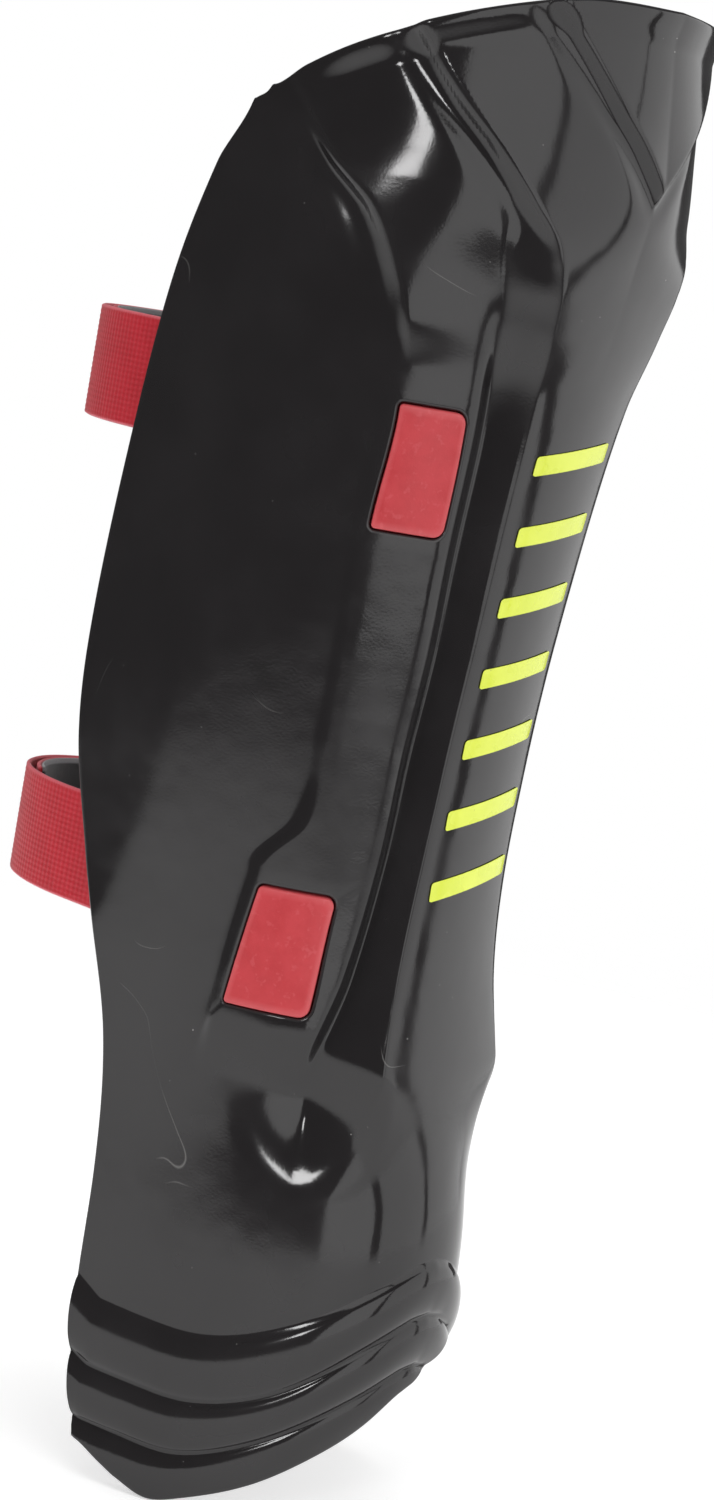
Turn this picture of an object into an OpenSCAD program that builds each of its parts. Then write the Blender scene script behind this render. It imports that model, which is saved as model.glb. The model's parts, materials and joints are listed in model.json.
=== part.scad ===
// Ski racing shin guard: one moulded shell with three foam pads inside, and two webbing
// straps that close behind the calf.
// Millimetres. +Z runs up the shin, the crest faces -Y, the sides are -X and +X.

/* [Shell] */
// height of the shell, ankle edge to knee rim
shell_height = 400; // [370:430]
// widest part of the shell, across the knee
shell_width = 122; // [114:132]
// wall thickness of the shell
wall = 2.6; // [2.2:0.1:3.2]
// how far the knee rim turns outward
rim_flare = 2.4; // [0.5:0.1:3]
// height of the step along each knee crease
crease_step = 2.8; // [1:0.1:3.5]
// swell of each ankle rib
rib_swell = 2.2; // [1:0.1:3]
// height of the raised band on each flank
band_rise = 2.2; // [1:0.1:3]
// depth of the groove between crest and band
valley_depth = 1.6; // [0.5:0.1:2]
// depth of the hollow at the groove's foot
scoop_depth = 4; // [2:0.2:5]
// inward lean of each wing, as a slope
wing_lean = 0.2; // [0.12:0.01:0.24]

/* [Anchors] */
// how far each anchor plug stands out of the band
plug_proud = 0.8; // [0.3:0.1:1.5]
// gap between an anchor plug and its window
window_gap = 0.45; // [0.25:0.05:0.6]
// width of the lip behind each window
plug_lip = 2.5; // [1.5:0.1:3.5]

/* [Straps] */
// webbing width
strap_width = 30; // [25:34]
// webbing thickness
strap_thick = 1.4; // [1.2:0.1:1.6]
// thickness of the hook and loop lining
lining_thick = 1.0; // [0.8:0.1:1.2]
// height of the upper strap's middle
upper_strap_z = 288; // [284:292]
// height of the lower strap's middle
lower_strap_z = 160; // [157:164]
// how far the loops reach behind the wings
loop_reach = 44; // [36:48]
// where the outer half ends, in degrees round the loop
outer_end = 112; // [100:125]
// where the hook tape starts on the outer half, in degrees round the loop
hook_from = 78; // [60:90]
// where the inner half ends, in degrees round the loop
inner_end = 52; // [45:70]

/* [Liner] */
// foam thickness
foam = 5.5; // [4:0.5:7]
// gap between shell and foam, filled by hook patches
foam_gap = 1.5; // [1.4:0.1:1.8]

/* [Crest mark] */
// number of bars
mark_count = 7; // [3:9]
// thickness of the bars
mark_thick = 0.25; // [0.15:0.05:0.4]

/* [Hidden] */
kz = shell_height / 400;
kx = shell_width / 122;
quarter = 0.62;
strap_off = wall + 1.5;
patch_clear = 0.5;
hinge_gap = 0.6;
hinge_y = [39.2, 41.4];
hinge_u_z = [273, 146];
black = [0.10, 0.09, 0.095];
red = [0.80, 0.16, 0.18];
web = [0.78, 0.03, 0.08];
lime = [0.80, 0.86, 0.18];
grey = [0.16, 0.16, 0.17];

// outline curves: each pair is height along the shin, then distance
front = [[0, 58], [20, 64], [40, 69], [60, 71], [80, 70.5], [110, 66], [150, 60.3], [200, 60.8],
    [255, 65], [300, 70], [330, 75], [352, 78.2], [375, 77.5], [400, 75]];
half = [[0, 48], [50, 46.5], [100, 44], [150, 46], [200, 50], [250, 54], [300, 58], [345, 61],
    [400, 61]];
rear = [[0, 1], [15, 3.5], [40, 8], [80, 11], [115, 16], [140, 24], [160, 32.5], [190, 42.5], [225, 43],
    [275, 37], [315, 29], [345, 17], [362, 5], [400, 4]];
power = [[0, 2.25], [70, 2.25], [140, 2], [400, 2]];
crest = [[80, 29], [110, 27], [135, 24], [180, 19.6], [231, 18], [285, 19.4], [319, 23.4], [345, 30]];
lean_y = [[100, 40], [140, 26], [160, 18], [183, 11], [214, 7], [245, 1], [275, -4], [304, -8],
    [334, -9], [348, -5], [362, 4], [400, 5]];

// edges of the shell: each pair is the way round from the crest (0) to the rear edge (1), then height;
// the ankle edge is cut higher on the inner side, +X, than on the outer side, -X
bottom_outer = [[0, 39], [0.04, 35.5], [0.1, 27], [0.17, 19.5], [0.28, 9.5], [0.4, 2.4], [0.465, 0],
    [0.53, 2.8], [0.57, 5.5], [0.62, 9], [0.75, 12], [0.93, 19], [1, 36]];
bottom_inner = [[0, 39], [0.06, 45], [0.12, 49.5], [0.18, 47.5], [0.25, 40.5], [0.32, 30], [0.4, 20],
    [0.465, 15.5], [0.53, 13.5], [0.62, 14], [0.75, 16], [0.93, 22], [1, 36]];
top = [[0, 401], [0.18, 399.5], [0.26, 396.5], [0.37, 390], [0.48, 381], [0.57, 372], [0.62, 366], [1, 362]];
rib1 = [[0, 73.5], [0.05, 72], [0.143, 66], [0.307, 53.5], [0.443, 46], [0.562, 45.5], [1, 50.5]];
rib2 = [[0, 58.5], [0.05, 57], [0.145, 50], [0.305, 35], [0.44, 28.5], [0.562, 28.5], [1, 31]];
rib3 = [[0, 44.5], [0.05, 42.5], [0.143, 35], [0.3, 21.5], [0.435, 14], [0.56, 14], [1, 15]];

// lines that run up the flank: each pair is height, then the way round
foot = [[80, 0.36], [100, 0.34], [123, 0.3], [145, 0.238], [175, 0.2], [205, 0.19], [231, 0.182],
    [256, 0.186], [292, 0.19], [320, 0.215], [345, 0.26], [400, 0.28]];
plate_front = [[80, 0.43], [100, 0.4], [132, 0.323], [166, 0.29], [200, 0.25], [231, 0.235],
    [260, 0.225], [292, 0.23], [320, 0.26], [345, 0.3], [400, 0.33]];
plate_rear = [[80, 0.54], [100, 0.53], [132, 0.485], [166, 0.438], [173, 0.425], [184, 0.362],
    [206, 0.348], [231, 0.345], [261, 0.35], [294, 0.342], [320, 0.38], [345, 0.44], [400, 0.46]];
wing = [[100, 0.93], [142, 0.92], [162, 0.787], [183, 0.71], [214, 0.675], [245, 0.64], [275, 0.605],
    [304, 0.59], [334, 0.585], [348, 0.6], [362, 0.63], [400, 0.63]];
crease_a = [[300, 0.34], [311, 0.357], [325.5, 0.39], [339.5, 0.44], [349.5, 0.503], [370, 0.6]];
crease_b = [[325, 0.17], [333.5, 0.185], [340.5, 0.2], [349, 0.24], [360, 0.297], [369, 0.348],
    [379, 0.393], [400, 0.47]];
crease_c = [[340, -0.06], [356, 0.003], [364.5, 0.052], [373, 0.107], [387.5, 0.185], [402, 0.26]];

function limit(x, a, b) = min(b, max(a, x));
function smooth(a, b, x) = let (t = limit((x - a) / (b - a), 0, 1)) t * t * (3 - 2 * t);
function seg(k, x, i = 0) = (i >= len(k) - 2 || x < k[i + 1][0]) ? i : seg(k, x, i + 1);
function slope(k, i) = let (a = max(i - 1, 0), b = min(i + 1, len(k) - 1))
    (k[b][1] - k[a][1]) / (k[b][0] - k[a][0]);
function curve(k, v) = let (
        x = limit(v, k[0][0], k[len(k) - 1][0]),
        i = seg(k, x),
        d = k[i + 1][0] - k[i][0],
        t = (x - k[i][0]) / d
    ) (1 - t) * (1 - t) * ((1 + 2 * t) * k[i][1] + t * d * slope(k, i))
        + t * t * ((3 - 2 * t) * k[i + 1][1] - (1 - t) * d * slope(k, i + 1));

// the way round at which the plain section reaches half-width x
function round_at(x, z) = quarter / 90 * asin(pow(min(1, x / curve(half, z)), curve(power, z) / 2));
function crest_on(z) = smooth(85, 125, z) * (1 - smooth(325, 350, z));

// knee relief, then everything else
function crease(k, u, z, s, l) = let (d = (curve(k, z) - u) * 115)
    s * smooth(-3, 1.5, d) * exp(-max(d, 0) / l);
function knee_relief(u, z) = crease_step * (
    crease(crease_a, u, z, 1, 18) * smooth(300, 318, z) * (1 - smooth(348, 368, z))
    + crease(crease_b, u, z, 1.1, 20) * smooth(325, 340, z)
    + crease(crease_c, u, z, 0.9, 16) * smooth(346, 360, z));
function lobe(t) = pow(max(0, 4 * t * (1 - t)), 0.6);
function rib_relief(u, z) = let (a = curve(rib1, u), b = curve(rib2, u), c = curve(rib3, u)) rib_swell * (
    z > a ? 0 : z > b ? lobe((z - b) / (a - b)) : z > c ? lobe((z - c) / (b - c))
    : lobe(limit((c - z) / 18, 0, 0.6)));
function band_relief(u, z) = let (f = curve(foot, z), r = curve(plate_rear, z))
    band_rise * smooth(f, f + 0.025, u) * (1 - smooth(r + 0.004, r + 0.034, u))
    * smooth(114, 130, z) * (1 - smooth(292, 322, z));
function valley_relief(u, z) = let (f = curve(foot, z))
    -valley_depth * exp(-pow((u - f) / 0.026, 2)) * smooth(108, 132, z) * (1 - smooth(300, 325, z));
function scoop_relief(u, z) = let (r = norm([(u - 0.325) / 0.12, (z - 109) / 17]))
    -scoop_depth * (1 - smooth(0.2, 1.05, r));
function relief(u, z) = knee_relief(u, z) + rib_relief(u, z) + band_relief(u, z)
    + valley_relief(u, z) + scoop_relief(u, z);
function flare(u, z) = let (t = curve(top, u)) rim_flare * smooth(t - 9, t, z) * (1 - smooth(0.5, 0.62, u));

// a point of the plain section, then its outward direction, both in plan
function plain(u, z) = let (
        m = crest_on(z),
        f = curve(front, z) - 3 * m,
        w = curve(half, z),
        e = 2 / curve(power, z),
        a = min(u, quarter) / quarter * 90,
        y = u < quarter ? -f * pow(cos(a), e) : (u - quarter) / (1 - quarter) * curve(rear, z),
        d = y - curve(lean_y, z)
    ) [w * pow(sin(a), e) - wing_lean / 2 * (d + sqrt(d * d + 9)), y];
function raised(u, z) = let (
        p = plain(u, z),
        h = curve(crest, z),
        m = crest_on(z) * (1 - smooth(round_at(h, z), curve(foot, z), u)),
        s = limit(p[0] / h, 0, 1)
    ) [p[0], p[1] * (1 - m) + (-curve(front, z) - 0.8 + 2.2 * s * s) * m];
function outward(u, z) = let (a = min(u, quarter) / quarter * 90, f = curve(front, z), w = curve(half, z),
        v = [sin(a) / w, -cos(a) / f]) v / norm(v);

// point at offset d from the surface; side is -1 or 1
function place(p, side, z) = [side * p[0] * kx, p[1], z * kz];
function side_of(c) = c < 0 ? -1 : 1;
function skin(c, z, d) = let (u = abs(c)) place(raised(u, z) + d * outward(u, z), side_of(c), z);
function pad_point(c, z, d) = let (u = abs(c)) place(plain(u, z) + d * outward(u, z), side_of(c), z);

// closed solid between two grids of points, with cells left open where "open" says so
module slab(a, b, open = []) {
    nc = len(a) - 1;
    nr = len(a[0]) - 1;
    function solid(i, j) = i >= 0 && j >= 0 && i < nc && j < nr
        && len([for (o = open) if (i >= o[0] && i < o[1] && j >= o[2] && j < o[3]) 1]) == 0;
    function n(i, j, k) = (i * (nr + 1) + j) * 2 + k;
    pts = [for (i = [0:nc]) for (j = [0:nr]) for (k = [0:1]) k == 0 ? a[i][j] : b[i][j]];
    faces = [for (i = [0:nc - 1]) for (j = [0:nr - 1]) if (solid(i, j)) each concat(
        wall_faces(n(i, j, 0), n(i, j + 1, 0), n(i + 1, j + 1, 0), n(i + 1, j, 0)),
        wall_faces(n(i, j, 1), n(i + 1, j, 1), n(i + 1, j + 1, 1), n(i, j + 1, 1)),
        solid(i, j - 1) ? [] : side_wall(n(i, j, 0), n(i + 1, j, 0)),
        solid(i, j + 1) ? [] : side_wall(n(i + 1, j + 1, 0), n(i, j + 1, 0)),
        solid(i - 1, j) ? [] : side_wall(n(i, j + 1, 0), n(i, j, 0)),
        solid(i + 1, j) ? [] : side_wall(n(i + 1, j, 0), n(i + 1, j + 1, 0)))];
    polyhedron(pts, faces, convexity = 6);
}
function wall_faces(a, b, c, d) = [[a, b, c], [a, c, d]];
function side_wall(a, b) = wall_faces(a, b, b + 1, a + 1);

// grid of the shell: lines 0..8 run up it, lines 0..11 run across it
function line_u(k, z) = let (f = curve(foot, z), r = curve(plate_rear, z))
    [0, round_at(curve(crest, z), z), f, f + 0.025, curve(plate_front, z), r, r + 0.032,
        curve(wing, z), 1][k];
function col_u(c, z) = let (k = min(7, floor(c)), t = c - k) line_u(k, z) * (1 - t) + line_u(k + 1, z) * t;
function bottom_edge(u) = u > 0 ? curve(bottom_inner, u) : curve(bottom_outer, -u);
function line_z(k, v) = let (
        u = abs(v),
        b = bottom_edge(v),
        c = max(curve(rib3, u), b + 1.5),
        d = max(curve(rib2, u), c + 2),
        e = max(curve(rib1, u), d + 3),
        t = curve(top, u)
    ) [b, c, d, e, 98, 133, 166, 261, 294, 322, t - 9, t][k];
function row_z(r, v) = let (k = min(10, floor(r)), t = r - k) line_z(k, v) * (1 - t) + line_z(k + 1, v) * t;
function steps(counts) = [for (k = [0:len(counts) - 1]) each [for (i = [0:counts[k] - 1]) k + i / counts[k]],
    len(counts)];
half_cols = steps([4, 2, 1, 1, 3, 1, 4, 5]);
cols = concat([for (i = [len(half_cols) - 1:-1:1]) -half_cols[i]], half_cols);
rows = steps([2, 3, 3, 3, 4, 3, 10, 3, 4, 8, 2]);
function node_uz(c, r) = let (
        s = side_of(c),
        g = col_u(abs(c), r < 4 ? 60 : r > 9 ? 380 : 200),
        z = row_z(r, s * (r > 9 ? col_u(abs(c), row_z(r, g)) : g))
    ) [col_u(abs(c), z), z];
function shell_point(c, r, inner) = let (
        q = node_uz(c, r),
        d = relief(q[0], q[1]),
        k = knee_relief(q[0], q[1]),
        l = flare(q[0], q[1]),
        off = inner ? min(0.8 * max(k, 0) - wall, d - 0.75 * wall) + l : d + l
    ) skin(c < 0 ? -q[0] : q[0], q[1], off);
function index_of(v, list, i = 0) = abs(list[i] - v) < 0.001 ? i : index_of(v, list, i + 1);

module shell() color(black) {
    c0 = len(half_cols) - 1;
    f = index_of(4, half_cols);
    r = index_of(5, half_cols);
    l0 = index_of(5, rows);
    l1 = index_of(6, rows);
    u0 = index_of(7, rows);
    u1 = index_of(8, rows);
    slab([for (c = cols) [for (r = rows) shell_point(c, r, false)]],
        [for (c = cols) [for (r = rows) shell_point(c, r, true)]],
        [for (w = [[l0, l1], [u0, u1]]) each [concat([c0 + f, c0 + r], w), concat([c0 - r, c0 - f], w)]]);
}

// plug that fills a window; side is -1 or 1, z0 to z1 is the window's height
module plug(side, z0, z1) color(red) {
    e = window_gap / 21;
    lip = plug_lip / 21;
    hc = side > 0 ? [4 + e, 4.25, 4.5, 4.75, 5 - e] : [5 - e, 4.75, 4.5, 4.25, 4 + e];
    la = 4 - lip * 1.2;
    lb = 5 + lip;
    lc = [for (i = [0:6]) side > 0 ? la + (lb - la) * i / 6 : lb - (lb - la) * i / 6];
    hz = [for (i = [0:4]) z0 + window_gap + (z1 - z0 - 2 * window_gap) * i / 4];
    lz = [for (i = [0:4]) z0 - plug_lip + (z1 - z0 + 2 * plug_lip) * i / 4];
    slab([for (c = hc) [for (z = hz) skin(side * col_u(c, z), z, band_rise + plug_proud)]],
        [for (c = hc) [for (z = hz) skin(side * col_u(c, z), z, -wall - 0.7)]]);
    slab([for (c = lc) [for (z = lz) skin(side * lip_u(c, z), z, -wall - 0.3)]],
        [for (c = lc) [for (z = lz) skin(side * lip_u(c, z), z, -wall - 1.1)]]);
}
function lip_u(c, z) = let (f = curve(plate_front, z), r = curve(plate_rear, z)) f + (c - 4) * (r - f);
module plug_upper_left() plug(-1, 261, 294);
module plug_upper_right() plug(1, 261, 294);
module plug_lower_left() plug(-1, 133, 166);
module plug_lower_right() plug(1, 133, 166);

// strap path in plan from the plug to the rear edge; k is 0 for the upper strap, 1 for the lower
function strap_z(k) = k == 0 ? upper_strap_z * kz : lower_strap_z * kz;
function plug_z(k) = k == 0 ? 277.5 * kz : 149.5 * kz;
function wing_x(k, y) = let (z = hinge_u_z[k], d = y - curve(lean_y, z))
    (curve(half, z) - wing_lean / 2 * (d + sqrt(d * d + 9)) - strap_off) * kx;
function run_start(k) = k == 0 ? 0.24 : 0.31;

// point of the run inside the shell, on the +X side: station i, e above its middle, d into the strap;
// near the plug it leans as the shell does, and at the rear edge it stands upright
run_bends = 8;
run_stations = 12;
function run_height(k, i) = plug_z(k) + (strap_z(k) - plug_z(k)) * smooth(0, 0.8, i / run_stations);
function run_point(k, i, e, d) = let (
        z = run_height(k, i) + e,
        lean = 1 - smooth(0.4, run_bends / run_stations, i / run_stations),
        ze = hinge_u_z[k] + (z / kz - hinge_u_z[k]) * lean,
        u = run_start(k) + (quarter - run_start(k)) * min(i, run_bends) / run_bends,
        p = plain(u, ze) - (strap_off + d) * outward(u, ze),
        y = hinge_y[k] * (i - run_bends) / (run_stations - run_bends) - (i == run_stations ? hinge_gap : 0)
    ) i <= run_bends ? [p[0] * kx, p[1], z] : [wing_x(k, y) - d, y, z];
module run_slab(k, last, d0, d1, hw) slab(
    [for (i = [0:last]) [for (e = [-hw, 0, hw]) run_point(k, i, e, d0)]],
    [for (i = [0:last]) [for (e = [-hw, 0, hw]) run_point(k, i, e, d1)]]);

// loop behind the calf: an ellipse through both hinges, t in degrees from the left one
function loop_pt(k, t, d) = let (
        x = wing_x(k, hinge_y[k]),
        a = x / cos(14),
        b = loop_reach / (1 - sin(14)),
        p = [-a * cos(t), hinge_y[k] + b * (sin(t) - sin(14))],
        v = [-cos(t) * b, sin(t) * a],
        n = v / norm(v)
    ) p - d * n;

// flat strip: path in plan with a height at each station, between offsets o0 and o1 to its right
function turn(p, i) = let (v = p[min(len(p) - 1, i + 1)] - p[max(0, i - 1)]) [v[1], -v[0]] / norm(v);
function beside(p, i, o) = p[i] + o * turn(p, i);
module strip(p, z, o0, o1, hw) {
    function edge(i, o, s) = let (q = beside(p, i, o)) [q[0], q[1], z + s * hw];
    function face(o) = [for (i = [0:len(p) - 1]) [for (s = [-1, 1]) edge(i, o, s)]];
    slab(face(o0), face(o1));
}
module run(k) run_slab(k, run_stations, 0, strap_thick, strap_width / 2);
module other_side() mirror([1, 0, 0]) children();
module run_upper_left() color(web) other_side() run(0);
module run_upper_right() color(web) run(0);
module run_lower_left() color(web) other_side() run(1);
module run_lower_right() color(web) run(1);

// clamp plate that holds the strap's end behind its plug
module clamp(k) run_slab(k, 2, strap_thick + 0.2, strap_thick + 1.4, strap_width / 2 + 1.5);
module clamp_upper_left() color(grey) other_side() clamp(0);
module clamp_upper_right() color(grey) clamp(0);
module clamp_lower_left() color(grey) other_side() clamp(1);
module clamp_lower_right() color(grey) clamp(1);

// free halves: the left half lies outside, the right half inside
inner_drop = strap_thick + lining_thick + 0.5;
function outer_path(k, from, n) = [for (i = [0:n]) loop_pt(k, from + (outer_end - from) * i / n, 0)];
function inner_path(k) = [for (i = [0:20]) let (t = 166 - (166 - inner_end) * i / 20)
    loop_pt(k, t, inner_drop * (1 - smooth(118, 160, t)))];
module outer_half(k) strip(outer_path(k, 14, 18), strap_z(k), 0, strap_thick, strap_width / 2);
// room for the seam between hook tape and webbing
hook_gap = 0.1;
module hook_tape(k) strip(outer_path(k, hook_from, 10), strap_z(k), strap_thick + hook_gap,
    strap_thick + lining_thick, strap_width / 2 - 0.8);
module inner_half(k, o0, o1) strip(inner_path(k), strap_z(k), -o1, -o0, strap_width / 2);
module web_upper_left() color(web) outer_half(0);
module web_lower_left() color(web) outer_half(1);
module hook_upper_left() color(grey) hook_tape(0);
module hook_lower_left() color(grey) hook_tape(1);
module web_upper_right() color(web) inner_half(0, 0, strap_thick);
module web_lower_right() color(web) inner_half(1, 0, strap_thick);
module lining_upper_right() color(grey) inner_half(0, strap_thick, strap_thick + lining_thick);
module lining_lower_right() color(grey) inner_half(1, strap_thick, strap_thick + lining_thick);

// foam pads, with hook patches between them and the shell
function spread(a, b, n) = [for (i = [0:n]) a + (b - a) * i / n];
function pad_z(u, t, s, z0, z1) = let (
        a = max(z0, bottom_edge(u) + 8),
        b = min(z1, curve(top, abs(u)) - 12)
    ) (a + b) / 2 + (b - a) * (t - 0.5) * s;
module pad(reach, z0, z1, nc, nr) color(grey) {
    us = spread(-reach, reach, nc);
    ts = spread(0, 1, nr);
    back = -wall - foam_gap;
    slab([for (u = us) [for (t = ts) pad_point(u, pad_z(u, t, 1, z0, z1), back)]],
        [for (u = us) [for (t = ts) pad_point(u * 0.96, pad_z(u * 0.96, t, 0.93, z0, z1), back - foam)]]);
}
module pad_knee() pad(0.5, 309, 400, 16, 8);
module pad_shin() pad(0.52, 181, 255, 16, 7);
module pad_ankle() pad(0.52, 0, 92, 16, 7);
module patches(u0, u1, z0, z1) color(grey) for (s = [-1, 1]) {
    us = s > 0 ? spread(u0, u1, 4) : spread(-u1, -u0, 4);
    zs = spread(z0, z1, 3);
    slab([for (u = us) [for (z = zs) pad_point(u, z, -wall - patch_clear)]],
        [for (u = us) [for (z = zs) pad_point(u, z, -wall - foam_gap + 0.15)]]);
}
module patch_knee() patches(0.3, 0.45, 315, 340);
module patch_shin() patches(0.34, 0.48, 200, 240);
module patch_ankle() patches(0.3, 0.46, 56, 84);

// plain bars along the crest
module crest_bars() color(lime) for (i = [0:mark_count - 1]) {
    z = 174 + 112 * i / (mark_count - 1);
    reach = 0.78 * round_at(curve(crest, z), z);
    us = spread(-reach, reach, 8);
    slab([for (u = us) [for (t = [-2.6, 2.6]) skin(u, z + t + u * 26, 0.12 + mark_thick)]],
        [for (u = us) [for (t = [-2.6, 2.6]) skin(u, z + t + u * 26, 0.12)]]);
}

shell();
crest_bars();
plug_upper_left();
plug_upper_right();
plug_lower_left();
plug_lower_right();
clamp_upper_left();
clamp_upper_right();
clamp_lower_left();
clamp_lower_right();
run_upper_left();
run_upper_right();
run_lower_left();
run_lower_right();
web_upper_left();
web_upper_right();
web_lower_left();
web_lower_right();
hook_upper_left();
lining_upper_right();
hook_lower_left();
lining_lower_right();
pad_knee();
pad_shin();
pad_ankle();
patch_knee();
patch_shin();
patch_ankle();
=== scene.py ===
"""Ski racing shin guard: the visual model, in the CAD frame (metres, +Z up the shin, -Y front).

Shapes are worked out in millimetres, as in the CAD source, and turned into metres in Shape.build().
"""

import json
import math

import bmesh
import bpy
import numpy as np
from mathutils import Matrix, Vector

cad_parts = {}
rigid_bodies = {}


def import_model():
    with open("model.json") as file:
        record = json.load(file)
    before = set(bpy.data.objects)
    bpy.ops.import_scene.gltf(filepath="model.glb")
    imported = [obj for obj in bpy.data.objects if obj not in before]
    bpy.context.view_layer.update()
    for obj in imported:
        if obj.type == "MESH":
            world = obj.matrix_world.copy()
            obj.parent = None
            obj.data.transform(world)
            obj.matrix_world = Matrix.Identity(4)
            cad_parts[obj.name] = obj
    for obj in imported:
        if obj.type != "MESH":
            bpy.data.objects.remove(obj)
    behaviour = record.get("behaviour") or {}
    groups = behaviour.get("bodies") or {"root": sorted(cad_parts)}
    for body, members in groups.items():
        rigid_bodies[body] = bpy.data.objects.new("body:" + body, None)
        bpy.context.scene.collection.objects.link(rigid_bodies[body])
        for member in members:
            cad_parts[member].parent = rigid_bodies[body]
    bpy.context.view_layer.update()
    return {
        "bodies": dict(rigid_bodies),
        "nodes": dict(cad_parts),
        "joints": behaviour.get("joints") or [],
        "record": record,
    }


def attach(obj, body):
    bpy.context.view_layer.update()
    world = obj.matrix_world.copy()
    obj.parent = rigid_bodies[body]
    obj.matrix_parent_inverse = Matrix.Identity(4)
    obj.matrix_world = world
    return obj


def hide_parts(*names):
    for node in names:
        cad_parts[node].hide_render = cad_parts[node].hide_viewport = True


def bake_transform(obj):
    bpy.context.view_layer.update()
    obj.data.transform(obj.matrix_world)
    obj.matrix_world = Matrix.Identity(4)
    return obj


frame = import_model()

# ---------------------------------------------------------------- driving sizes, mm
WALL = 2.6
RIM_FLARE = 2.4
CREASE_STEP = 2.8
RIB_SWELL = 2.2
BAND_RISE = 2.2
VALLEY_DEPTH = 1.6
SCOOP_DEPTH = 4
WING_LEAN = 0.2
PLUG_PROUD = 0.8
WINDOW_GAP = 0.45
WINDOWS = {"upper": (261, 294), "lower": (133, 166)}
LEVELS = ("upper", "lower")
SIDES = {"left": -1, "right": 1}
STRAP_WIDTH = 30
STRAP_THICK = 1.4
LINING_THICK = 1.0
STRAP_Z = {"upper": 288, "lower": 160}
HINGE_Y = {"upper": 39.2, "lower": 41.4}
PATH_Z = {"upper": 273, "lower": 146}
RUN_START = {"upper": 0.24, "lower": 0.31}
LOOP_REACH = 44
OUTER_END = 112
INNER_END = 52
STRAP_OFF = WALL + 1.5
FOAM = 5.5
FOAM_GAP = 1.5
QUARTER = 0.62

# mm round the surface for each unit of u
KNEE_GIRTH = 115
SHELL_GIRTH = 150
PAD_GIRTH = 130
FLANK_GIRTH = 130

# outline curves: height along the shin, then distance
FRONT = [(0, 58), (20, 64), (40, 69), (60, 71), (80, 70.5), (110, 66), (150, 60.3), (200, 60.8),
         (255, 65), (300, 70), (330, 75), (352, 78.2), (375, 77.5), (400, 75)]
HALF = [(0, 48), (50, 46.5), (100, 44), (150, 46), (200, 50), (250, 54), (300, 58), (345, 61), (400, 61)]
REAR = [(0, 1), (15, 3.5), (40, 8), (80, 11), (115, 16), (140, 24), (160, 32.5), (190, 42.5), (225, 43),
        (275, 37), (315, 29), (345, 17), (362, 5), (400, 4)]
POWER = [(0, 2.25), (70, 2.25), (140, 2), (400, 2)]
CREST = [(80, 29), (110, 27), (135, 24), (180, 19.6), (231, 18), (285, 19.4), (319, 23.4), (345, 30)]
LEAN_Y = [(100, 40), (140, 26), (160, 18), (183, 11), (214, 7), (245, 1), (275, -4), (304, -8),
          (334, -9), (348, -5), (362, 4), (400, 5)]

# edges of the shell: the way round from the crest (0) to the rear edge (1), then height
BOTTOM_OUTER = [(0, 39), (0.04, 35.5), (0.1, 27), (0.17, 19.5), (0.28, 9.5), (0.4, 2.4), (0.465, 0),
                (0.53, 2.8), (0.57, 5.5), (0.62, 9), (0.75, 12), (0.93, 19), (1, 36)]
BOTTOM_INNER = [(0, 39), (0.06, 45), (0.12, 49.5), (0.18, 47.5), (0.25, 40.5), (0.32, 30), (0.4, 20),
                (0.465, 15.5), (0.53, 13.5), (0.62, 14), (0.75, 16), (0.93, 22), (1, 36)]
TOP = [(0, 401), (0.18, 399.5), (0.26, 396.5), (0.37, 390), (0.48, 381), (0.57, 372), (0.62, 366), (1, 362)]
RIB1 = [(0, 73.5), (0.05, 72), (0.143, 66), (0.307, 53.5), (0.443, 46), (0.562, 45.5), (1, 50.5)]
RIB2 = [(0, 58.5), (0.05, 57), (0.145, 50), (0.305, 35), (0.44, 28.5), (0.562, 28.5), (1, 31)]
RIB3 = [(0, 44.5), (0.05, 42.5), (0.143, 35), (0.3, 21.5), (0.435, 14), (0.56, 14), (1, 15)]

# lines that run up the flank: height, then the way round
FOOT = [(80, 0.36), (100, 0.34), (123, 0.3), (145, 0.238), (175, 0.2), (205, 0.19), (231, 0.182),
        (256, 0.186), (292, 0.19), (320, 0.215), (345, 0.26), (400, 0.28)]
PLATE_FRONT = [(80, 0.43), (100, 0.4), (132, 0.323), (166, 0.29), (200, 0.25), (231, 0.235),
               (260, 0.225), (292, 0.23), (320, 0.26), (345, 0.3), (400, 0.33)]
PLATE_REAR = [(80, 0.54), (100, 0.53), (132, 0.485), (166, 0.438), (173, 0.425), (184, 0.362),
              (206, 0.348), (231, 0.345), (261, 0.35), (294, 0.342), (320, 0.38), (345, 0.44), (400, 0.46)]
WING = [(100, 0.93), (142, 0.92), (162, 0.787), (183, 0.71), (214, 0.675), (245, 0.64), (275, 0.605),
        (304, 0.59), (334, 0.585), (348, 0.6), (362, 0.63), (400, 0.63)]
CREASE_A = [(300, 0.34), (311, 0.357), (325.5, 0.39), (339.5, 0.44), (349.5, 0.503), (370, 0.6)]
CREASE_B = [(325, 0.17), (333.5, 0.185), (340.5, 0.2), (349, 0.24), (360, 0.297), (369, 0.348),
            (379, 0.393), (400, 0.47)]
CREASE_C = [(340, -0.06), (356, 0.003), (364.5, 0.052), (373, 0.107), (387.5, 0.185), (402, 0.26)]


# ---------------------------------------------------------------- curves
def smooth(a, b, x):
    t = np.clip((x - a) / (b - a), 0, 1)
    return t * t * (3 - 2 * t)


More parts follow.
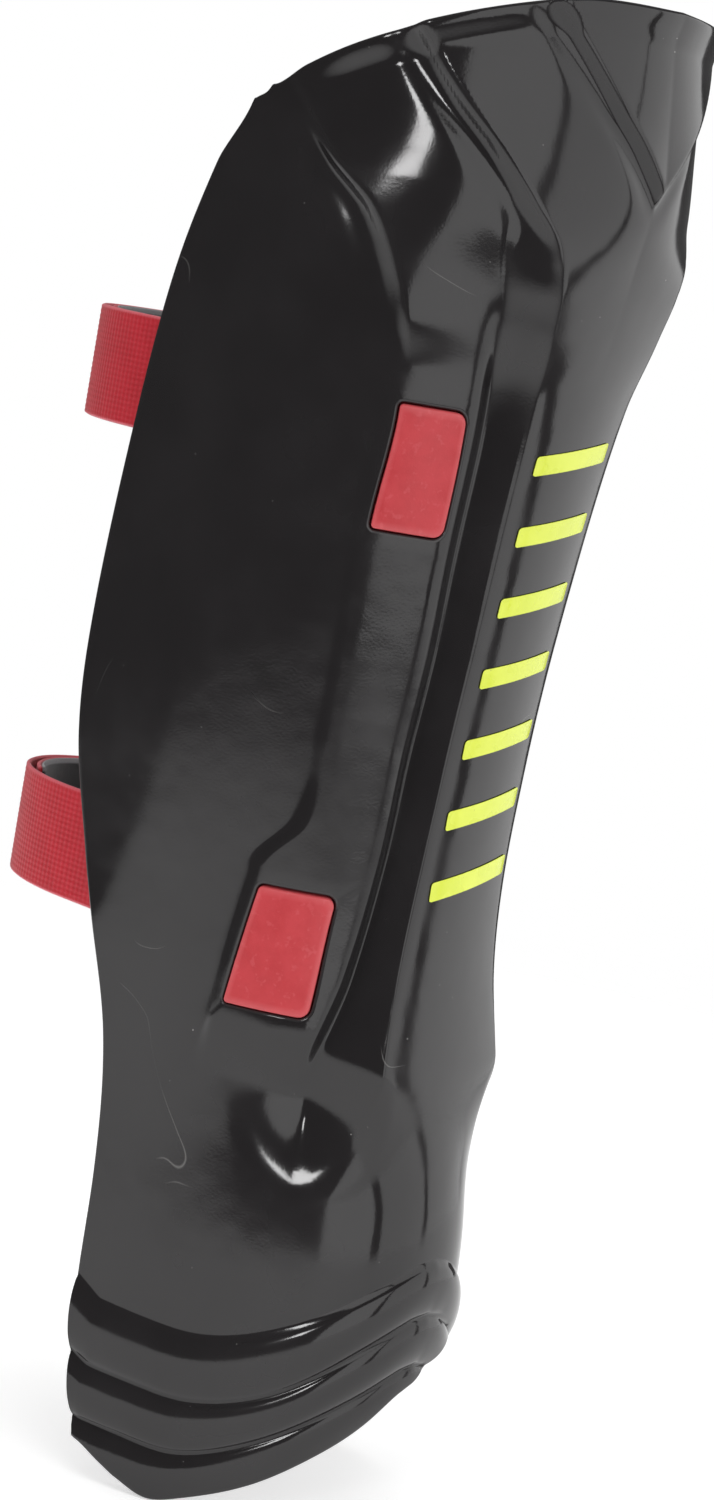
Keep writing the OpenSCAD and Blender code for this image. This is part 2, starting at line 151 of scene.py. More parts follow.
def curve(knots, value):
    """Smooth line through the knots, level with its end slopes, held beyond its ends."""
    k = np.array(knots, float)
    n = len(k)
    x = np.clip(value, k[0, 0], k[-1, 0])
    slope = np.array([(k[min(i + 1, n - 1), 1] - k[max(i - 1, 0), 1])
                      / (k[min(i + 1, n - 1), 0] - k[max(i - 1, 0), 0]) for i in range(n)])
    i = np.clip(np.searchsorted(k[:, 0], x, side="right") - 1, 0, n - 2)
    d = k[i + 1, 0] - k[i, 0]
    t = (x - k[i, 0]) / d
    return ((1 - t) ** 2 * ((1 + 2 * t) * k[i, 1] + t * d * slope[i])
            + t ** 2 * ((3 - 2 * t) * k[i + 1, 1] - (1 - t) * d * slope[i + 1]))


# ---------------------------------------------------------------- the guard's surface
def crest_on(z):
    return smooth(85, 125, z) * (1 - smooth(325, 350, z))


def round_at(x, z):
    return QUARTER / 90 * np.degrees(np.arcsin(np.minimum(1, x / curve(HALF, z)) ** (curve(POWER, z) / 2)))


def plain(u, z):
    """Plan point of the shell's plain section, u of the way round and z up."""
    f = curve(FRONT, z) - 3 * crest_on(z)
    w = curve(HALF, z)
    e = 2 / curve(POWER, z)
    a = np.radians(np.minimum(u, QUARTER) / QUARTER * 90)
    behind = (u - QUARTER) / (1 - QUARTER) * curve(REAR, z)
    y = np.where(u < QUARTER, -f * np.clip(np.cos(a), 0, 1) ** e, behind)
    d = y - curve(LEAN_Y, z)
    x = w * np.clip(np.sin(a), 0, 1) ** e - WING_LEAN / 2 * (d + np.sqrt(d * d + 9))
    return x, y


def raised(u, z):
    """The plain section with the crest plateau on it."""
    x, y = plain(u, z)
    h = curve(CREST, z)
    m = crest_on(z) * (1 - smooth(round_at(h, z), curve(FOOT, z), u))
    s = np.clip(x / h, 0, 1)
    return x, y * (1 - m) + (-curve(FRONT, z) - 0.8 + 2.2 * s * s) * m


def outward(u, z):
    a = np.radians(np.minimum(u, QUARTER) / QUARTER * 90)
    vx, vy = np.sin(a) / curve(HALF, z), -np.cos(a) / curve(FRONT, z)
    n = np.hypot(vx, vy)
    return vx / n, vy / n


def skin(u, z, off, side=1, section=raised):
    """Points at offset off from the shell's outer surface, as an array of x, y, z in mm."""
    x, y = section(u, z)
    nx, ny = outward(u, z)
    return np.stack([side * (x + off * nx), y + off * ny, z + 0 * x], -1)


# ---------------------------------------------------------------- relief
def crease(knots, u, z, size, reach):
    d = (curve(knots, z) - u) * KNEE_GIRTH
    step = smooth(-2.6, 1.0, d) * np.exp(-np.maximum(d, 0) / reach)
    return size * (step - 0.3 * np.exp(-((d + 4) / 2.6) ** 2))


def knee_relief(u, z):
    return CREASE_STEP * (
        crease(CREASE_A, u, z, 1, 18) * smooth(300, 318, z) * (1 - smooth(348, 368, z))
        + crease(CREASE_B, u, z, 1.1, 20) * smooth(325, 340, z)
        + crease(CREASE_C, u, z, 0.9, 16) * smooth(346, 360, z))


def crease_highlight(u, z):
    """Painted highlight along the knee's crease edges: 1 on an edge, 0 away from it."""
    edges = [np.exp(-((curve(knots, z) - u) * KNEE_GIRTH / 0.9 - 0.5) ** 2) * smooth(low, low + 15, z)
             for knots, low in ((CREASE_A, 300), (CREASE_B, 325), (CREASE_C, 346))]
    return np.max(edges, axis=0) * 0.15


def lobe(t):
    return np.clip(4 * t * (1 - t), 0, 1) ** 0.6


def rib_relief(u, z):
    a, b, c = curve(RIB1, u), curve(RIB2, u), curve(RIB3, u)
    return RIB_SWELL * np.where(z > a, 0, np.where(z > b, lobe((z - b) / (a - b)), np.where(
        z > c, lobe((z - c) / (b - c)), lobe(np.clip((c - z) / 18, 0, 0.6)))))


def band_relief(u, z):
    f, r = curve(FOOT, z), curve(PLATE_REAR, z)
    return (BAND_RISE * smooth(f, f + 0.025, u) * (1 - smooth(r + 0.004, r + 0.034, u))
            * smooth(114, 130, z) * (1 - smooth(292, 322, z)))


def valley_relief(u, z):
    return (-VALLEY_DEPTH * np.exp(-((u - curve(FOOT, z)) / 0.026) ** 2)
            * smooth(92, 150, z) * (1 - smooth(290, 330, z)))


def scoop_relief(u, z):
    return -SCOOP_DEPTH * (1 - smooth(0.0, 1.15, np.hypot((u - 0.325) / 0.13, (z - 109) / 19)))


def relief(u, z):
    flank = knee_relief(u, z) + rib_relief(u, z) + band_relief(u, z)
    return flank + valley_relief(u, z) + scoop_relief(u, z)


def flare(u, z):
    t = curve(TOP, u)
    return RIM_FLARE * smooth(t - 9, t, z) * (1 - smooth(0.5, 0.62, u))


# ---------------------------------------------------------------- meshes
class Shape:
    """Points, faces and two marks for one mesh: lie is the place on cloth in mm, the other mark is a painted
    highlight from 0 to 1.
    """

    def __init__(self):
        self.points, self.lie, self.wear, self.faces = [], [], [], []
        self.count = 0

    def add(self, points, lie=0.0, wear=0.0):
        points = np.asarray(points, float)
        index = self.count + np.arange(points[..., 0].size).reshape(points.shape[:-1])
        self.points.append(points.reshape(-1, 3))
        self.lie.append(np.broadcast_to(lie, points.shape).reshape(-1, 3))
        self.wear.append(np.broadcast_to(wear, points.shape[:-1]).reshape(-1))
        self.count += index.size
        return index

    def quads(self, index, wrap=False, keep=None):
        """A face for every cell of an index grid; wrap joins its last column to its first."""
        a = np.concatenate([index, index[:, :1]], 1) if wrap else index
        q = np.stack([a[:-1, :-1], a[1:, :-1], a[1:, 1:], a[:-1, 1:]], -1)
        self.faces.append((q.reshape(-1, 4) if keep is None else q[keep]).tolist())

    def cap(self, ring, centre, lie=0.0, wear=0.0):
        middle = int(self.add(centre, lie, wear))
        self.faces.append([[int(a), int(b), middle] for a, b in zip(ring, np.roll(ring, -1))])

    def build(self, name, finish):
        mesh = bpy.data.meshes.new(name)
        mesh.from_pydata(np.concatenate(self.points) * 0.001, [], [f for part in self.faces for f in part])
        mesh.materials.append(finish)
        tidy = bmesh.new()
        tidy.from_mesh(mesh)
        bmesh.ops.recalc_face_normals(tidy, faces=tidy.faces)
        tidy.to_mesh(mesh)
        tidy.free()
        mesh.polygons.foreach_set("use_smooth", [True] * len(mesh.polygons))
        for mark, kind, field, values in (("lie", "FLOAT_VECTOR", "vector", self.lie),
                                          ("wear", "FLOAT", "value", self.wear)):
            layer = mesh.attributes.new(mark, kind, "POINT")
            layer.data.foreach_set(field, np.concatenate(values).astype(np.float32).ravel())
        obj = bpy.data.objects.new(name, mesh)
        bpy.context.scene.collection.objects.link(obj)
        return obj


def square_loop(n_long, n_short):
    """Points round the edge of a unit square, the same way round as border()."""
    a, b = np.linspace(0, 1, n_long + 1), np.linspace(0, 1, n_short + 1)
    return np.concatenate([np.stack([a[:-1], 0 * a[:-1]], -1), np.stack([0 * b[:-1] + 1, b[:-1]], -1),
                           np.stack([a[:0:-1], 0 * a[1:] + 1], -1), np.stack([0 * b[1:], b[:0:-1]], -1)])


def border(grid):
    """The edge of a grid of points or indices, as one closed loop."""
    return np.concatenate([grid[:-1, 0], grid[-1, :-1], grid[:0:-1, -1], grid[0, :0:-1]])


def rounded(square, size, radii, grow=0.0):
    """Moves points on a unit square's edge on to a round-cornered rectangle, as shares of its size in mm.

    radii are the corner radii at the low and the high end of the first direction; grow widens it all round.
    """
    width, height = size
    full = np.array([width + 2 * grow, height + 2 * grow])
    at = square * full
    for high in (0, 1):
        r = max(radii[high] + grow, 0.05)
        for top in (0, 1):
            centre = np.array([full[0] - r if high else r, full[1] - r if top else r])
            near = ((at[:, 0] > centre[0]) if high else (at[:, 0] < centre[0])) & (
                (at[:, 1] > centre[1]) if top else (at[:, 1] < centre[1]))
            off = at[near] - centre
            at[near] = centre + off / np.linalg.norm(off, axis=1, keepdims=True) * r
    return (at - grow) / np.array([width, height])


def plate(shape, place, size, radii, profile, counts=(16, 24), rings=4):
    """A closed plate with round corners: place(p, q, h) gives its points, from shares of size and a height.

    profile is the section of its edge from the top face to the bottom one, as (grow, h, painted highlight)
    stations.
    """
    square = square_loop(*counts)

    def face(grow, h, shares):
        return [place(*(0.5 + (rounded(square, size, radii, grow) - 0.5) * t).T, h) for t in shares]

    shares = np.arange(1, rings + 1) / (rings + 1)
    loops = face(*profile[0][:2], shares)
    painted_highlights = [0.0] * rings
    for grow, h, wear in profile:
        loops += face(grow, h, [1.0])
        painted_highlights.append(wear)
    loops += face(*profile[-1][:2], shares[::-1])
    painted_highlights += [0.0] * rings
    index = np.stack([shape.add(loop, wear=wear) for loop, wear in zip(loops, painted_highlights)])
    shape.quads(index, wrap=True)
    middle = np.array(0.5)
    shape.cap(index[0], place(middle, middle, profile[0][1]))
    shape.cap(index[-1], place(middle, middle, profile[-1][1]))


def rounded_edge(top, bottom, radius, grow=0.0, wear=1.0):
    """Edge stations of a plate from height top to bottom, with both edges rounded to radius and a painted
    highlight along them.
    """
    turn = np.radians([0, 22, 45, 67, 90])
    high = [(grow - radius + radius * math.sin(a), top - radius + radius * math.cos(a), wear) for a in turn]
    low = [(g, bottom + top - h, w) for g, h, w in high]
    return high + low[::-1]


def finish_piece(piece, slot, body, *nodes):
    if nodes:
        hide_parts(*nodes)
    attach(piece, body)


# ---------------------------------------------------------------- finishes
class Finish:
    """A node material being made: every input is a number, a colour or another node's output."""

    def __init__(self, name, **fixed):
        self.material = bpy.data.materials.new(name)
        self.material.use_nodes = True
        self.tree = self.material.node_tree
        self.surface = self.tree.nodes["Principled BSDF"]
        self.set(**fixed)
        self.place = self.node("TexCoord").outputs["Object"]
        self.cloth = self.node("Attribute", attribute_name="lie").outputs["Vector"]
        self.wear = self.node("Attribute", attribute_name="wear").outputs["Fac"]

    def put(self, node, socket, value):
        target = node.inputs[socket]
        if isinstance(value, bpy.types.NodeSocket):
            self.tree.links.new(value, target)
        else:
            target.default_value = (*value, 1) if isinstance(value, tuple) and len(value) == 3 and (
                target.type == "RGBA") else value

    def set(self, **inputs):
        for name, value in inputs.items():
            self.put(self.surface, name.replace("_", " "), value)

    def node(self, kind, inputs=None, **settings):
        node = self.tree.nodes.new("ShaderNode" + kind)
        for name, value in settings.items():
            setattr(node, name, value)
        for socket, value in (inputs or {}).items():
            self.put(node, socket, value)
        return node

    def noise(self, scale, detail=2.0, rough=0.5, vector=None, distortion=0.0):
        return self.node("TexNoise", {"Vector": vector or self.place, "Scale": scale, "Detail": detail,
                                      "Roughness": rough, "Distortion": distortion}).outputs["Fac"]

    def cells(self, scale, vector=None):
        node = self.node("TexVoronoi", {"Vector": vector or self.place, "Scale": scale})
        return node.outputs["Distance"], node.outputs["Color"]

    def fit(self, value, low, high, to_low=0.0, to_high=1.0):
        return self.node("MapRange", {"Value": value, "From Min": low, "From Max": high, "To Min": to_low,
                                      "To Max": to_high}, interpolation_type="SMOOTHSTEP").outputs["Result"]

    def math(self, operation, a, b=0.0):
        return self.node("Math", {0: a, 1: b}, operation=operation).outputs[0]

    def mix(self, share, a, b):
        node = self.node("Mix", {"Factor": share, "A": a, "B": b}, data_type="RGBA")
        return node.outputs["Result"]

    def stretch(self, vector, scale):
        return self.node("Mapping", {"Vector": vector, "Scale": scale}).outputs["Vector"]

    def part(self, vector, axis):
        return self.node("SeparateXYZ", {"Vector": vector}).outputs[axis]

    def bump(self, height, distance, strength=1.0, after=None):
        inputs = {"Height": height, "Distance": distance, "Strength": strength}
        if after is not None:
            inputs["Normal"] = after
        return self.node("Bump", inputs).outputs["Normal"]


def specks(f, scale, size, share):
    """Mask of sparse dots: scale is cells a metre, size a dot's part of its cell, share how many have one."""
    distance, colour = f.cells(scale)
    lucky = f.fit(f.part(colour, "X"), 1 - share, 1 - share + 0.01)
    return f.math("MULTIPLY", f.fit(distance, size, size * 0.6), lucky)


def hairlines(f, scale, width, cover):
    """Mask of fine scratches: thin level lines of a noise, kept only where another noise is high."""
    level = f.math("ABSOLUTE", f.math("SUBTRACT", f.noise(scale, 1.0, distortion=0.6), 0.5))
    patchy = f.fit(f.noise(scale * 0.6, 1.0), cover, cover + 0.04)
    return f.math("MULTIPLY", f.fit(level, width, 0.0), patchy)


def shell_finish():
    f = Finish("shell_plastic", IOR=1.5)
    dust = specks(f, 115, 0.032, 0.12)
    fine_dust = specks(f, 320, 0.05, 0.05)
    scratch = hairlines(f, 26, 0.0022, 0.6)
    haze = f.fit(f.noise(34, 3.0, 0.6), 0.3, 0.75)
    marks = f.math("MAXIMUM", dust, f.math("MAXIMUM", f.math("MULTIPLY", fine_dust, 0.6),
                                           f.math("MULTIPLY", scratch, 0.35)))
    tone = f.mix(haze, (0.0125, 0.0112, 0.0118), (0.0155, 0.0140, 0.0148))
    # painted highlight: lighter along the knee's crease edges, round the windows and on the rolled rim
    tone = f.mix(f.math("MULTIPLY", f.wear, 0.5), tone, (0.045, 0.043, 0.044))
    f.set(Base_Color=f.mix(f.math("MULTIPLY", marks, 0.45), tone, (0.55, 0.54, 0.52)),
          Roughness=f.math("ADD", f.fit(haze, 0, 1, 0.085, 0.14), f.math("MULTIPLY", marks, 0.4)),
          Normal=f.bump(f.noise(48, 2.0), 0.0016, 0.12, f.bump(f.noise(1400, 1.0), 0.00003, 0.25)))
    return f.material


def plug_finish():
    f = Finish("plug_plastic", IOR=1.49)
    mottle = f.fit(f.noise(160, 3.0, 0.6), 0.3, 0.7)
    scuff = f.math("MULTIPLY", f.fit(f.noise(420, 2.0, 0.7), 0.56, 0.72), 0.5)
    dust = specks(f, 420, 0.05, 0.05)
    tone = f.mix(mottle, (0.430, 0.024, 0.031), (0.480, 0.032, 0.041))
    tone = f.mix(scuff, tone, (0.52, 0.07, 0.08))
    # painted highlight: lighter on the plug's rounded head edges and its lip
    tone = f.mix(f.math("MULTIPLY", f.wear, 0.3), tone, (0.62, 0.14, 0.15))
    f.set(Base_Color=f.mix(f.math("MULTIPLY", dust, 0.5), tone, (0.95, 0.75, 0.72)),
          Roughness=f.fit(mottle, 0, 1, 0.30, 0.42), Subsurface_Weight=0.04, Subsurface_Scale=0.002,
          Normal=f.bump(f.noise(2600, 2.0), 0.00006, 0.5, f.bump(f.noise(300, 1.0), 0.0002, 0.25)))
    return f.material


def webbing_finish():
    f = Finish("webbing", Sheen_Weight=0.25, Sheen_Roughness=0.35, Roughness=0.52)
    threads = f.noise(1.0, 2.0, 0.6, f.stretch(f.cloth, (1.1, 9.0, 1.0)))
    fade = f.fit(f.noise(0.12, 2.0, 0.5, f.cloth), 0.35, 0.7)
    edge = f.fit(f.math("ABSOLUTE", f.part(f.cloth, "Y")), 13.9, 14.7)
    tone = f.mix(fade, (0.360, 0.002, 0.009), (0.430, 0.004, 0.014))
    tone = f.mix(f.fit(threads, 0.35, 0.75), tone, (0.48, 0.008, 0.022))
    # painted highlight: lighter on the weave's raised knots and edge cords
    tone = f.mix(f.math("MULTIPLY", f.wear, 0.5), tone, (0.62, 0.030, 0.055))
    f.set(Base_Color=f.mix(f.math("MULTIPLY", edge, 0.5), tone, (0.82, 0.20, 0.24)),
          Normal=f.bump(threads, 0.00012, 0.6))
    return f.material


def thread_finish():
    f = Finish("stitching_thread", Sheen_Weight=0.2)
    twist = f.noise(1700, 2.0, 0.6)
    f.set(Base_Color=f.mix(f.fit(twist, 0.3, 0.7), (0.42, 0.004, 0.012), (0.62, 0.02, 0.04)),
          Roughness=f.fit(twist, 0.3, 0.7, 0.5, 0.7), Normal=f.bump(twist, 0.00008, 0.6))
    return f.material


def lining_finish():
    f = Finish("loop_lining", Sheen_Weight=0.5, Sheen_Roughness=0.4, Roughness=0.85)
    nap = f.noise(1.0, 3.0, 0.75, f.stretch(f.cloth, (2.4, 2.4, 2.4)))
    edge = f.fit(f.math("ABSOLUTE", f.part(f.cloth, "Y")), 13.2, 14.0)
    tone = f.mix(f.fit(nap, 0.3, 0.7), (0.010, 0.010, 0.011), (0.045, 0.044, 0.046))
    f.set(Base_Color=f.mix(edge, tone, (0.30, 0.30, 0.31)), Normal=f.bump(nap, 0.0005, 0.7))
    return f.material


def hook_finish():
    f = Finish("hook_tape", Roughness=0.6)
    distance, colour = f.cells(1.25, f.cloth)
    tone = f.mix(f.fit(distance, 0.15, 0.5), (0.06, 0.058, 0.06), (0.012, 0.012, 0.013))
    f.set(Base_Color=f.mix(f.fit(f.part(colour, "X"), 0.7, 1.0, 0.0, 0.5), tone, (0.09, 0.088, 0.09)),
          Normal=f.bump(distance, 0.0006, -0.8))
    return f.material


def pad_finish():
    f = Finish("pad_fabric", Sheen_Weight=0.35, Sheen_Roughness=0.4, Roughness=0.8)
    lattice = {"Vector": f.stretch(f.cloth, (0.62, 0.62, 0.62)), "Scale": 1.0, "Randomness": 0.0}
    knit = f.node("TexVoronoi", lattice)
    hole = f.fit(knit.outputs["Distance"], 0.30, 0.18)
    fibre = f.noise(2200, 2.0, 0.7)
    tone = f.mix(f.fit(fibre, 0.3, 0.7), (0.030, 0.031, 0.034), (0.062, 0.063, 0.068))
    tone = f.mix(f.fit(f.noise(40, 2.0), 0.35, 0.7, 0.0, 0.4), tone, (0.075, 0.076, 0.080))
    f.set(Base_Color=f.mix(hole, tone, (0.006, 0.006, 0.007)),
          Normal=f.bump(f.math("SUBTRACT", f.math("MULTIPLY", fibre, 0.3), hole), 0.0007, 0.7))
    return f.material


def nylon_finish():
    f = Finish("clamp_nylon", IOR=1.53)
    grain = f.noise(1500, 3.0, 0.7)
    glass = f.noise(1.0, 2.0, 0.6, f.stretch(f.place, (300.0, 300.0, 2400.0)))
    tone = f.mix(f.fit(glass, 0.55, 0.75, 0.0, 0.6), (0.022, 0.022, 0.024), (0.075, 0.074, 0.076))
    # painted highlight: lighter on the clamp plates' rounded edges and rivet heads
    f.set(Base_Color=f.mix(f.math("MULTIPLY", f.wear, 0.4), tone, (0.11, 0.11, 0.11)),
          Roughness=f.fit(grain, 0.3, 0.7, 0.38, 0.55), Normal=f.bump(grain, 0.00012, 0.6))
    return f.material


def ink_finish():
    f = Finish("crest_ink", IOR=1.48, Coat_Weight=0.3, Coat_Roughness=0.1)
    chips = f.math("MULTIPLY", f.fit(f.noise(900, 3.0, 0.7), 0.70, 0.74), 0.8)
    film = f.fit(f.noise(120, 2.0), 0.3, 0.7)
    tone = f.mix(film, (0.640, 0.735, 0.045), (0.700, 0.790, 0.070))
    f.set(Base_Color=f.mix(chips, tone, (0.20, 0.23, 0.03)), Roughness=f.fit(film, 0, 1, 0.24, 0.36),
          Normal=f.bump(f.noise(1800, 2.0), 0.00004, 0.5))
    return f.material


SHELL = shell_finish()
RED = plug_finish()
WEBBING = webbing_finish()
THREAD = thread_finish()
LINING = lining_finish()
HOOK = hook_finish()
PAD = pad_finish()
NYLON = nylon_finish()
INK = ink_finish()


# ---------------------------------------------------------------- the shell
ROLL = 0.8
COLUMN_STEPS = [44, 16, 5, 5, 26, 6, 40, 24]
ROW_STEPS = [12, 14, 14, 34, 30, 36, 64, 36, 34, 120, 10]


def line_u(k, z):
    f, r = curve(FOOT, z), curve(PLATE_REAR, z)
    return (0 * z, round_at(curve(CREST, z), z), f, f + 0.025, curve(PLATE_FRONT, z), r, r + 0.032,
            curve(WING, z), 1 - ROLL / FLANK_GIRTH + 0 * z)[k]


def line_z(k, u, side):
    b = curve(BOTTOM_INNER if side > 0 else BOTTOM_OUTER, u) + ROLL
    c = np.maximum(curve(RIB3, u), b + 1.5)
    d = np.maximum(curve(RIB2, u), c + 2)
    e = np.maximum(curve(RIB1, u), d + 3)
    t = curve(TOP, u)
    level = [98, *WINDOWS["lower"], *WINDOWS["upper"], 322]
    return ([b, c, d, e] + [v + 0 * u for v in level] + [t - 9, t - ROLL])[k]


def steps(counts):
    return np.concatenate([k + np.arange(n) / n for k, n in enumerate(counts)] + [[len(counts)]])


def between(lines, position):
    """Value at fractional line numbers, straight between the lines."""
    low = np.clip(np.floor(position).astype(int), 0, len(lines) - 2)
    below = np.take_along_axis(lines, low[None], 0)[0]
    above = np.take_along_axis(lines, low[None] + 1, 0)[0]
    return below + (above - below) * (position - low)


def surface_uz(c, r, side):
    """u and z of the shell's surface at column position c and row position r."""
    z = np.where(r < 4, 60.0, np.where(r > 9, 380.0, 200.0))
    for _ in range(2):
        u = between(np.stack([line_u(k, z) for k in range(9)]), c)
        z = between(np.stack([line_z(k, u, side) for k in range(12)]), r)
    return between(np.stack([line_u(k, z) for k in range(9)]), c), z


def shell_offset(u, z, inner):
    d, l = relief(u, z), flare(u, z)
    if inner:
        return np.minimum(0.8 * np.maximum(knee_relief(u, z), 0) - WALL, d - 0.75 * WALL) + l
    return d + l


def window_uz(level, p, q):
    low, high = WINDOWS[level]
    z = low + (high - low) * q
    return curve(PLATE_FRONT, z) * (1 - p) + curve(PLATE_REAR, z) * p, z


def window_size(level):
    low, high = WINDOWS[level]
    u, z = window_uz(level, np.linspace(0, 1, 9), np.full(9, 0.5))
    return np.linalg.norm(np.diff(skin(u, z, BAND_RISE), axis=0), axis=1).sum(), high - low


WINDOW_RADII = (3.2, 1.5)
WINDOW_MARGIN = 3
# window edge from the face inward: distance past the opening, depth, painted highlight
WINDOW_EDGE = [(0.9, 0, 0), (0.5, -0.03, 0.6), (0.2, -0.14, 1), (0.05, -0.32, 1), (0, -0.6, 0.3),
               (0, -1.6, 0)]


def window_hole(shape, level, side, faces):
    """Joins the shell's outer face to its inner one round a window; gives the cells that this replaces."""
    column = sum(COLUMN_STEPS[:4]) - WINDOW_MARGIN
    row = sum(ROW_STEPS[:{"lower": 5, "upper": 7}[level]]) - WINDOW_MARGIN
    n_col = COLUMN_STEPS[4] + 2 * WINDOW_MARGIN
    n_row = ROW_STEPS[5] + 2 * WINDOW_MARGIN
    square = square_loop(n_col, n_row)
    cut = (slice(column, column + n_col + 1), slice(row, row + n_row + 1))
    size = window_size(level)
    loops = [border(faces[0][cut])]
    for grow, depth, wear in WINDOW_EDGE:
        u, z = window_uz(level, *rounded(square, size, WINDOW_RADII, grow).T)
        loops.append(shape.add(skin(u, z, shell_offset(u, z, False) + depth, side), wear=wear))
    for grow in (0, 0.9):
        u, z = window_uz(level, *rounded(square, size, WINDOW_RADII, grow).T)
        loops.append(shape.add(skin(u, z, shell_offset(u, z, True), side)))
    loops.append(border(faces[1][cut]))
    shape.quads(np.stack(loops), wrap=True)
    return cut


def shell_moulding():
    shape = Shape()
    columns, rows = steps(COLUMN_STEPS), steps(ROW_STEPS)
    c, r = np.meshgrid(columns, rows, indexing="ij")
    full = {}
    for inner in (False, True):
        halves = []
        for side in (-1, 1):
            u, z = surface_uz(c, r, side)
            wear = 0 * u if inner else crease_highlight(u, z)
            halves.append((skin(u, z, shell_offset(u, z, inner), side), wear))
        points = np.concatenate([halves[0][0][:0:-1], halves[1][0]])
        painted_highlights = np.concatenate([halves[0][1][:0:-1], halves[1][1]])
        full[inner] = (points, shape.add(points, wear=painted_highlights))
    middle = len(columns) - 1
    keep = np.ones((2 * middle, len(rows) - 1), bool)
    for side in (-1, 1):
        faces = [index[middle::-1] if side < 0 else index[middle:] for _, index in full.values()]
        for level in LEVELS:
            cut_c, cut_r = window_hole(shape, level, side, faces)
            cells_c = slice(middle - cut_c.stop + 1, middle - cut_c.start) if side < 0 else slice(
                middle + cut_c.start, middle + cut_c.stop - 1)
            keep[cells_c, cut_r.start:cut_r.stop - 1] = False
    for _, index in full.values():
        shape.quads(index, keep=keep)
    roll_edge(shape, full[False], full[True])
    return shape.build("shell_moulding", SHELL)


def roll_edge(shape, outer, inner):
    """Rounds the shell's free edge, from the outer face's border to the inner face's."""
    nc, nr = outer[1].shape
    i = border(np.clip(np.arange(nc), 1, nc - 2)[:, None] + 0 * np.arange(nr))
    j = border(0 * np.arange(nc)[:, None] + np.clip(np.arange(nr), 1, nr - 2))
    top, low = border(outer[0]), border(inner[0])
    away = top - outer[0][i, j]
    away /= np.maximum(np.linalg.norm(away, axis=1, keepdims=True), 1e-6)
    loops = [border(outer[1])]
    # the rolled rim carries a painted highlight, strongest at its middle
    for angle in np.radians([25, 50, 75, 105, 130, 155]):
        middle = (top + low) / 2 + (top - low) / 2 * math.cos(angle) + away * ROLL * math.sin(angle)
        loops.append(shape.add(middle, wear=math.sin(angle)))
    loops.append(border(inner[1]))
    shape.quads(np.stack(loops), wrap=True)


finish_piece(shell_moulding(), "shell", "guard", "shell")


# ---------------------------------------------------------------- anchor plugs, clamps and hook patches
def plug(level, side_name):
    side = SIDES[side_name]
    low = -WALL - 1.1
    top = BAND_RISE + PLUG_PROUD

    def place(p, q, h):
        u, z = window_uz(level, p, q)
        crown = 0.25 * np.clip(1 - (2 * p - 1) ** 2, 0, 1) * np.clip(1 - (2 * q - 1) ** 2, 0, 1)
        return skin(u, z, h + (crown if h > 0 else 0), side)

    head = [(g - WINDOW_GAP, h, w) for g, h, w in rounded_edge(top, low, 0.6)[:5]]
    lip = [(-WINDOW_GAP, -WALL - 0.3, 0), (2.2, -WALL - 0.3, 0.5), (2.2, low, 0.5)]
    shape = Shape()
    plate(shape, place, window_size(level), WINDOW_RADII, head + lip, counts=(26, 40), rings=8)
    piece = shape.build(f"anchor_{level}_{side_name}", RED)
    finish_piece(piece, "plug", "guard", f"plug_{level}_{side_name}")


RUN_BENDS = 8
RUN_STATIONS = 12
PLUG_Z = {level: sum(WINDOWS[level]) / 2 for level in LEVELS}


def run_point(level, side, i, e, d):
    """Point of the strap inside the shell: station i, e above its middle, d below its outer face."""
    z = PLUG_Z[level] + (STRAP_Z[level] - PLUG_Z[level]) * smooth(0, 0.8, i / RUN_STATIONS) + e
    lean = 1 - smooth(0.4, RUN_BENDS / RUN_STATIONS, i / RUN_STATIONS)
    ze = PATH_Z[level] + (z - PATH_Z[level]) * lean
    u = RUN_START[level] + (QUARTER - RUN_START[level]) * np.minimum(i, RUN_BENDS) / RUN_BENDS
    inside = skin(u, ze, -STRAP_OFF - d, side, plain)
    y = HINGE_Y[level] * (i - RUN_BENDS) / (RUN_STATIONS - RUN_BENDS)
    behind = side * (wing_x(level, y) - d)
    late = i > RUN_BENDS
    return np.stack([np.where(late, behind, inside[..., 0]), np.where(late, y, inside[..., 1]), z], -1)


def wing_x(level, y):
    lean = y - curve(LEAN_Y, PATH_Z[level])
    return curve(HALF, PATH_Z[level]) - WING_LEAN / 2 * (lean + np.sqrt(lean * lean + 9)) - STRAP_OFF


def dome(shape, centre, out, radius, height):
    """Low round head on a flat face, such as a rivet's."""
    out = out / np.linalg.norm(out)
    across = np.cross(out, (0, 0, 1.0))
    across /= np.linalg.norm(across)
    up = np.cross(out, across)
    around = np.linspace(0, 2 * math.pi, 20, endpoint=False)
    loops = []
    # the head carries a painted highlight, strongest at its top
    for angle in np.radians([0, 25, 50, 72]):
        ring = np.outer(np.cos(around), across) + np.outer(np.sin(around), up)
        level = centre + ring * radius * math.cos(angle) + out * height * math.sin(angle)
        loops.append(shape.add(level, wear=0.5))
    shape.quads(np.stack(loops), wrap=True)
    shape.cap(loops[-1], centre + out * height, wear=1.0)
    shape.cap(loops[0], centre)


def clamp(level, side_name):
    side = SIDES[side_name]
    length, height = 10.5, STRAP_WIDTH + 3

    def place(p, q, h):
        return run_point(level, side, 2 * p, (q - 0.5) * height, -h)

    top, low = -STRAP_THICK - 0.2, -STRAP_THICK - 1.4
    shape = Shape()
    plate(shape, place, (length, height), (2, 2), rounded_edge(top, low, 0.35), counts=(12, 30))
    for q in (0.22, 0.78):
        at, out = np.array(0.5), np.array(q)
        face = place(at, out, low)
        dome(shape, face, face - place(at, out, top), 2.4, 0.9)
    piece = shape.build(f"clamp_plate_{level}_{side_name}", NYLON)
    finish_piece(piece, "clamp", "guard", f"clamp_{level}_{side_name}")


PATCHES = {"knee": (0.3, 0.45, 315, 340), "shin": (0.34, 0.48, 200, 240), "ankle": (0.3, 0.46, 56, 84)}
PATCH_CLEAR = 0.5


